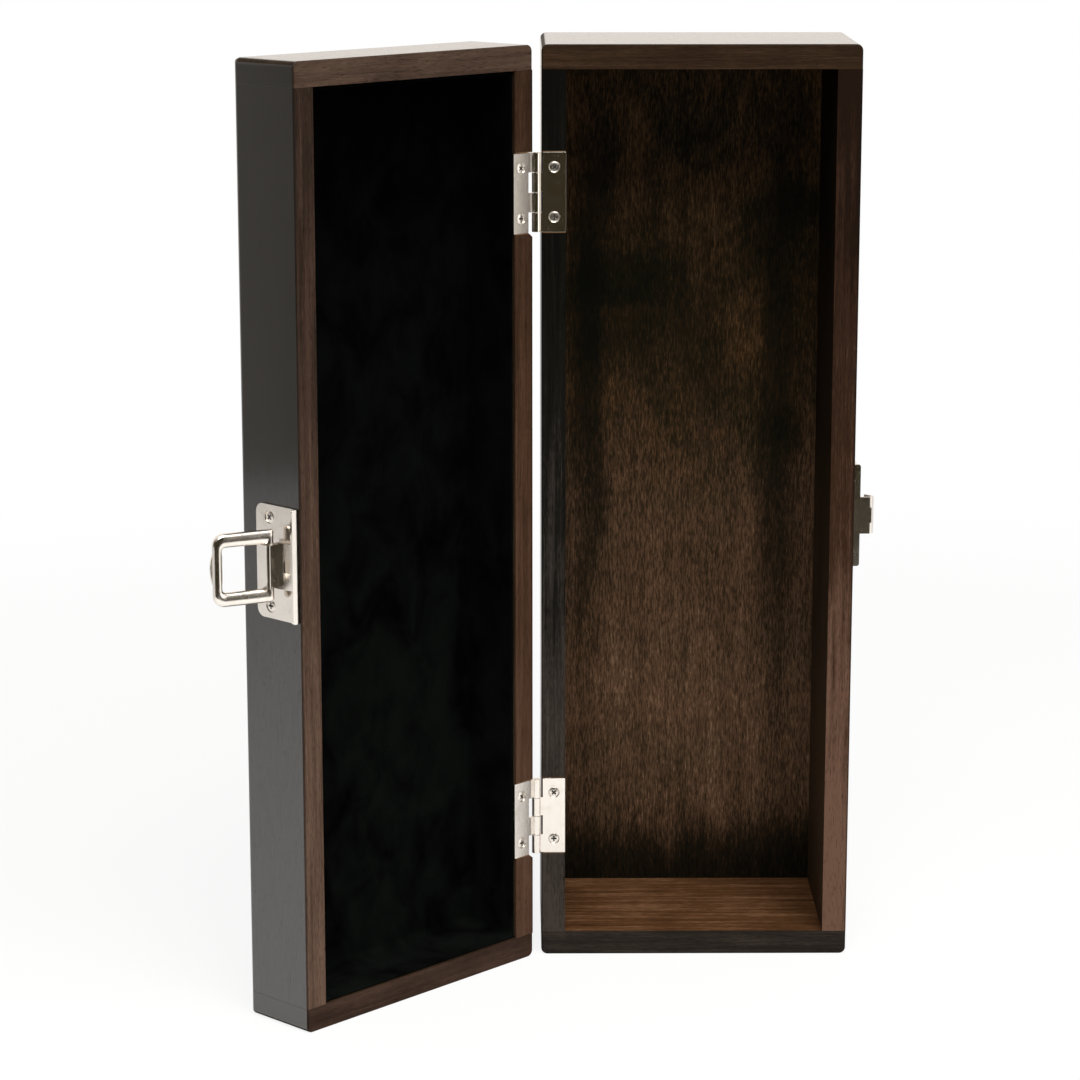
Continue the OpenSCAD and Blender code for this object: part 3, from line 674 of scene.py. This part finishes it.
def closed_grid(name, points):
    """A mesh of quads on a grid of points, rows by columns by 3, closed round its columns."""
    rows, columns = points.shape[:2]
    index = np.arange(rows * columns).reshape(rows, columns)
    right = np.roll(index, -1, axis=1)
    faces = np.stack([index[:-1], right[:-1], right[1:], index[1:]], -1).reshape(-1, 4)
    mesh = bpy.data.meshes.new(name)
    mesh.from_pydata(points.reshape(-1, 3), [], faces)
    shape = bmesh.new()
    shape.from_mesh(mesh)
    bmesh.ops.remove_doubles(shape, verts=shape.verts, dist=GRID_MERGE_WITHIN)
    bmesh.ops.dissolve_degenerate(shape, edges=shape.edges, dist=GRID_DEGENERATE)
    bmesh.ops.recalc_face_normals(shape, faces=shape.faces)
    shape.to_mesh(mesh)
    shape.free()
    mesh.polygons.foreach_set("use_smooth", np.ones(len(mesh.polygons), bool))
    piece = bpy.data.objects.new(name, mesh)
    bpy.context.scene.collection.objects.link(piece)
    return piece


def to_open_lid(points, turned_about):
    """Points measured from a place and turned about it by the lid's open angle."""
    turn = np.array(Matrix.Rotation(math.radians(LID_OPEN_DEG), 3, "Z"))
    return points @ turn.T + np.array(turned_about)


def lid_to_row(points):
    """Points in the lid half's own frame carried to where the lid stands open."""
    shut = np.stack([points[..., 0], BASE_RIM_Y - RIM_GAP - points[..., 1], points[..., 2]], -1)
    return to_open_lid(shut - np.array(LID_AXIS), LID_AXIS)


def ring_of_rectangle(half_x, half_z, radius, per_corner=7, per_side=(16, 48)):
    """Points round a rectangle with rounded corners: straight runs joined by quarter circles."""
    parts = []
    signs = [(1, 1), (-1, 1), (-1, -1), (1, -1)]
    for quarter in range(4):
        turn = quarter * math.pi / 2
        sx, sz = signs[quarter]
        angle = turn + np.linspace(0, math.pi / 2, per_corner)
        corner = np.stack([sx * (half_x - radius) + radius * np.cos(angle),
                           sz * (half_z - radius) + radius * np.sin(angle)], -1)
        parts.append(corner)
        nx, nz = signs[(quarter + 1) % 4]
        following = np.array([nx * (half_x - radius) + radius * math.cos(turn + math.pi / 2),
                              nz * (half_z - radius) + radius * math.sin(turn + math.pi / 2)])
        share = np.linspace(0, 1, per_side[quarter % 2] + 1)[1:-1, None]
        parts.append(corner[-1] * (1 - share) + following * share)
    return np.concatenate(parts)


def arc(centre, radius, start, end, steps):
    """Points on a circle from one angle to another, in degrees."""
    angle = np.radians(np.linspace(start, end, steps))
    return np.stack([centre[0] + radius * np.cos(angle), centre[1] + radius * np.sin(angle)], -1)


lining_half_x = BOX_W / 2 - WALL - LINING_CLEAR
lining_half_z = BOX_H / 2 - WALL - LINING_CLEAR
lining_back = LID_D - PANEL_T - LINING_CLEAR
lining_floor = lining_back - LINING_T
middle_inset = lining_half_x - LINING_HOLE
section = np.concatenate([
    [[middle_inset, lining_back], [lining_half_x / 2, lining_back]],
    [[0, lining_back], [0, lining_floor], [0, (lining_floor + LINING_DROP) / 2]],
    arc((LINING_FOLD, LINING_DROP + LINING_FOLD), LINING_FOLD, 180, 360, 9),
    [[LINING_T, y]
     for y in np.linspace(LINING_DROP + LINING_RUN_IN, lining_floor - LINING_COVE, 8)],
    arc((LINING_T + LINING_COVE, lining_floor - LINING_COVE), LINING_COVE, 180, 90, 8),
    [[inset, lining_floor]
     for inset in np.linspace(LINING_T + LINING_COVE + LINING_RUN_IN, middle_inset, 14)]])
rows = []
for inset, back in section:
    corner_r = LINING_CORNER_R
    if inset > LINING_T / 2:
        corner_r = max(LINING_CORNER_R, min(LINING_COVE, LINING_COVE - inset + LINING_T))
    corner_r = min(corner_r,
                   LINING_CORNER_SHARE * (lining_half_x - inset) + LINING_CORNER_LEAST)
    ring = ring_of_rectangle(lining_half_x - inset, lining_half_z - inset, corner_r)
    rows.append(np.stack([ring[:, 0], np.full(len(ring), back), ring[:, 1] + BOX_H / 2], -1))
tray = np.array(rows)
wave = (np.sin(tray[..., 0] / WAVE_ACROSS + 2 * np.sin(tray[..., 2] / WAVE_SNAKE))
        * np.sin(tray[..., 2] / WAVE_UP + WAVE_PHASE) * VELVET_WAVE)
inner = np.array([inset > LINING_T + LINING_COVE for inset, back in section])
tray[inner, :, 1] -= np.abs(wave[inner])
lining = closed_grid("velvet_lining", lid_to_row(tray))

# The pale colour is the nap's paler pile with a greenish painted light from below in it.
VELVET_DARK = (0.0003, 0.0003, 0.0003, 1)
VELVET_PALE_NAP_AND_LIGHT = (0.0040, 0.0050, 0.0045, 1)
PILE_PER_M, NAP_PER_M, NAP_TALL = 2600, 60, 0.7
NAP_SPAN, PAINTED_LIGHT_GONE_Z = (0.2, 0.75), 420 * MM
PILE_RELIEF, PILE_SHARE, NAP_SHARE = 0.12 * MM, 0.6, 0.4

velvet = bpy.data.materials.new("black_velvet")
tree = Tree(velvet)
x, y, z = half_place(tree, True)
pile = tree.noise(tree.vector(x, y, z), PILE_PER_M, 2, 0.6)
nap = tree.noise(tree.vector(x, y, z * NAP_TALL), NAP_PER_M, 3, 0.6, 0.5)
# The pale nap fades upwards to the given height, as painted light from below.
colour = tree.mix(nap.step(*NAP_SPAN) * (1 - z / PAINTED_LIGHT_GONE_Z), VELVET_DARK, VELVET_PALE_NAP_AND_LIGHT)
tree.surface({"Base Color": colour, "Roughness": 1.0, "Specular IOR Level": 0.0,
              "Sheen Weight": 0.012, "Sheen Roughness": 0.4,
              "Normal": tree.bump(pile * PILE_SHARE + nap * NAP_SHARE, PILE_RELIEF)})
lining.data.materials.append(velvet)
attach(lining, "lid")
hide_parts("lid_lining")


# ---- Hinges ----------------------------------------------------------------------------------
# Four leaves with their rolled knuckles, and two pins, of steel with a bright, slightly warm
# nickel plate: fine polishing lines, a little tarnish, and edges rounded by the tumbling.
NICKEL = (0.83, 0.785, 0.73, 1)
NICKEL_DULL = (0.66, 0.60, 0.52, 1)
POLISH_LINES = (0.22 * MM, 9 * MM, 3, 0.6, 0.0)
TARNISH_PER_M, TARNISH_SPAN = 190, (0.48, 0.8)
PITS_PER_M, PITS_SPAN = 2100, (0.68, 0.8)
DULL_BY_TARNISH, DULL_BY_PITS = 0.5, 0.3
ROUGH_BY_TARNISH, ROUGH_BY_LINES, ROUGH_BY_PITS = 0.14, 0.08, 0.15
LINES_RELIEF, TARNISH_RELIEF, PLATE_RELIEF = 0.5, 1.5, 0.006 * MM


def nickel_plate(name, polish_along, rough, seed):
    """Polished nickel: lines along one axis, faint clouds of tarnish and tiny pits."""
    material = bpy.data.materials.new(name)
    tree = Tree(material)
    place = tree.place()
    x, y, z = place
    lines = grain_noise(tree, place, polish_along, seed, POLISH_LINES)
    tarnish = tree.noise(tree.vector(x + seed, y, z), TARNISH_PER_M, 4, 0.62)
    pits = tree.noise(tree.vector(x, y + seed, z), PITS_PER_M, 1, 0.5).step(*PITS_SPAN)
    dull = tarnish.step(*TARNISH_SPAN) * DULL_BY_TARNISH + pits * DULL_BY_PITS
    roughness = (swung(rough, (tarnish, lines), (ROUGH_BY_TARNISH, ROUGH_BY_LINES))
                 + pits * ROUGH_BY_PITS)
    normal = tree.bump(lines * LINES_RELIEF + tarnish * TARNISH_RELIEF - pits, PLATE_RELIEF)
    tree.surface({"Base Color": tree.mix(dull, NICKEL, NICKEL_DULL), "Metallic": 1.0,
                  "Roughness": roughness, "Normal": normal})
    return material


bright_nickel = nickel_plate("bright_nickel", "Z", 0.16, 3.0)
LEAF_EASED = 0.14 * MM
for level in ("upper", "lower"):
    for half in ("base", "lid"):
        name = f"{level}_hinge_{half}_leaf"
        leaf = finer_copy(name, LEAF_EASED, segments=2)
        leaf.data.materials.append(bright_nickel)
        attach(leaf, half)
        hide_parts(name)
    pin = nodes[f"{level}_hinge_pin"]
    pin.data.materials.clear()
    pin.data.materials.append(bright_nickel)


# ---- Screws ----------------------------------------------------------------------------------
# Countersunk screws with a domed head and a cross recess, nickel-plated, a little duller than
# the leaves because the driver has worn them. The recess is painted dark as painted shade.
SCREW_EASED = 0.03 * MM
RECESS_SHADE_DARK = (0.018, 0.014, 0.010, 1)
RECESS_SHADE_PALE = (0.060, 0.048, 0.036, 1)
RECESS_SPECKLE_PER_M, RECESS_SPECKLE_RELIEF = 5200, 0.03 * MM
# A face is the recess's floor if it looks out this squarely from this deep, and one of its
# walls if it looks this little along the screw.
FLOOR_COSINE, FLOOR_DEPTH = 0.9995, 0.3 * MM
WALL_COSINE = 0.1

plated_screw = nickel_plate("plated_screw", "Z", 0.27, 9.0)
# The recess's painted shade: dark brown with a fine speckle.
recess_painted_shade = bpy.data.materials.new("recess_painted_shade")
tree = Tree(recess_painted_shade)
recess_speckle = tree.noise(tree.vector(*tree.place()), RECESS_SPECKLE_PER_M, 2, 0.6)
tree.surface({"Base Color": tree.mix(recess_speckle, RECESS_SHADE_DARK, RECESS_SHADE_PALE),
              "Roughness": 0.5 + recess_speckle * 0.3, "Normal": tree.bump(recess_speckle, RECESS_SPECKLE_RELIEF)})

lid_zero, lid_in, lid_right = lid_to_row(np.array([[0.0, 0, 0], [0, 1, 0], [1, 0, 0]]))
SCREW_WAYS = [
    ("upper_hinge_base_screws", "base", (0, -1, 0)),
    ("lower_hinge_base_screws", "base", (0, -1, 0)),
    ("upper_hinge_lid_screws", "lid", lid_zero - lid_in),
    ("lower_hinge_lid_screws", "lid", lid_zero - lid_in),
    ("latch_plate_screws", "lid", lid_right - lid_zero),
    ("keeper_screws", "base", (1, 0, 0)),
]
for name, half, way in SCREW_WAYS:
    screws = finer_copy(name, SCREW_EASED, segments=1)
    screws.data.materials.append(plated_screw)
    screws.data.materials.append(recess_painted_shade)
    way = Vector(way)
    top = max(vertex.co @ way for vertex in screws.data.vertices)
    for face in screws.data.polygons:
        along = face.normal @ way
        floor_of_cross = along > FLOOR_COSINE and top - face.center @ way > FLOOR_DEPTH
        # The recess's walls and floor, and any upright face of a head, get the painted shade.
        if abs(along) < WALL_COSINE or floor_of_cross:
            face.material_index = 1
    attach(screws, half)
    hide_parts(name)


# ---- Catch plates ----------------------------------------------------------------------------
# The latch plate on the lid, with its flange, gussets, sprung tongue and folded barrel, and the
# keeper plate on the base with its hook. Both are pressed from 1 mm sheet and then plated.
PLATE_EASED = 0.2 * MM
for name, half in [("latch_plate", "lid"), ("keeper_plate", "base")]:
    plate = finer_copy(name, PLATE_EASED, segments=2)
    plate.data.materials.append(bright_nickel)
    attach(plate, half)
    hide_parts(name)


# ---- Bail ------------------------------------------------------------------------------------
# A loop of 3.4 mm wire whose two arms are flattened upright and cut square round the pivot. Its
# bent-in ends turn in the latch plate's barrel, and the thumb tab is fixed behind its far leg.
bail_joint = next(joint for joint in frame["joints"] if joint["name"] == "bail_pivot")
BAIL_PIVOT = Vector(bail_joint["pos_m"])
BAIL_SWUNG_DEG = 20
WIRE_R = 1.7 * MM
WIRE_SIDES = 28
WIRE_FLATNESS = 4
BAIL_LEN = 19.8 * MM
ARM_LOW, ARM_HIGH = 8.2 * MM, 13.4 * MM
OUTER_BEND = 4.2 * MM
OUTER_BEND_AT_PIVOT = 0.9 * MM
INNER_BEND = 1.3 * MM
INNER_BEND_AT_PIVOT = 0.35 * MM
STUB_END = 3 * MM
TAB_EASED = 0.25 * MM


def bent_line(points, radii, per_bend=10, per_run=10):
    """A line through corner points with each corner rounded: straight runs and tangent arcs."""
    runs = []
    last = np.array(points[0], float)
    for before, corner, after, radius in zip(points, points[1:], points[2:], radii):
        corner = np.array(corner, float)
        back = (np.array(before) - corner) / np.linalg.norm(np.array(before) - corner)
        ahead = (np.array(after) - corner) / np.linalg.norm(np.array(after) - corner)
        share = np.linspace(0, 1, per_run, endpoint=False)[:, None]
        runs.append(last * (1 - share) + (corner + back * radius) * share)
        angle = np.linspace(0, math.pi / 2, per_bend, endpoint=False)[:, None]
        centre = corner + (back + ahead) * radius
        runs.append(centre - ahead * radius * np.cos(angle) - back * radius * np.sin(angle))
        last = corner + ahead * radius
    share = np.linspace(0, 1, per_run)[:, None]
    runs.append(last * (1 - share) + np.array(points[-1], float) * share)
    return np.concatenate(runs)


def bail_edge(side, arm, bend, bend_at_pivot):
    """One edge of the loop seen flat: side beyond the wire's middle and arm from mid-loop."""
    return bent_line(
        [(-side, STUB_END), (-side, arm), (BAIL_LEN + side, arm), (BAIL_LEN + side, -arm),
         (-side, -arm), (-side, -STUB_END)], [bend_at_pivot, bend, bend, bend_at_pivot])


def bail_to_row(points):
    """Points in the bail's own frame, swung back on its pivot, carried to the open lid."""
    swing = math.radians(BAIL_SWUNG_DEG)
    turned = np.stack([points[..., 0] * math.cos(swing) - points[..., 1] * math.sin(swing),
                       points[..., 0] * math.sin(swing) + points[..., 1] * math.cos(swing),
                       points[..., 2]], -1)
    return to_open_lid(turned * np.array([1, -1, 1]), BAIL_PIVOT)


# With the edges outer and inner and half = |outer - inner| / 2, the wire's section at an angle
# is bulge + min(half, r) cos across and r sin up; bulge = max(half - r, 0) tanh(flatness cos).
outer_line = bail_edge(WIRE_R, ARM_HIGH, OUTER_BEND, OUTER_BEND_AT_PIVOT)
inner_line = bail_edge(-WIRE_R, ARM_LOW, INNER_BEND, INNER_BEND_AT_PIVOT)
centre_line = (outer_line + inner_line) / 2
half_width = np.linalg.norm(outer_line - inner_line, axis=1) / 2
across = (outer_line - inner_line) / (2 * half_width[:, None])
around = np.linspace(0, 2 * math.pi, WIRE_SIDES, endpoint=False)
flattened = np.tanh(WIRE_FLATNESS * np.cos(around))
bulge = np.maximum(half_width - WIRE_R, 0)[:, None] * flattened[None, :]
reach = bulge + np.minimum(half_width, WIRE_R)[:, None] * np.cos(around)[None, :]
loop = np.empty((len(centre_line), WIRE_SIDES, 3))
loop[..., 0] = centre_line[:, None, 0] + across[:, None, 0] * reach
loop[..., 1] = WIRE_R * np.sin(around)
loop[..., 2] = centre_line[:, None, 1] + across[:, None, 1] * reach
caps = [end.mean(1, keepdims=True).repeat(WIRE_SIDES, 1) for end in (loop[:1], loop[-1:])]
loop = np.concatenate([caps[0], loop, caps[1]])

bail = closed_grid("bail_loop", bail_to_row(loop))
bail.data.materials.append(bright_nickel)
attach(bail, "bail")
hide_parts("latch_bail")

tab = finer_copy("bail_thumb_tab", TAB_EASED, segments=3)
tab.data.materials.append(bright_nickel)
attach(tab, "bail")
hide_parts("bail_thumb_tab")
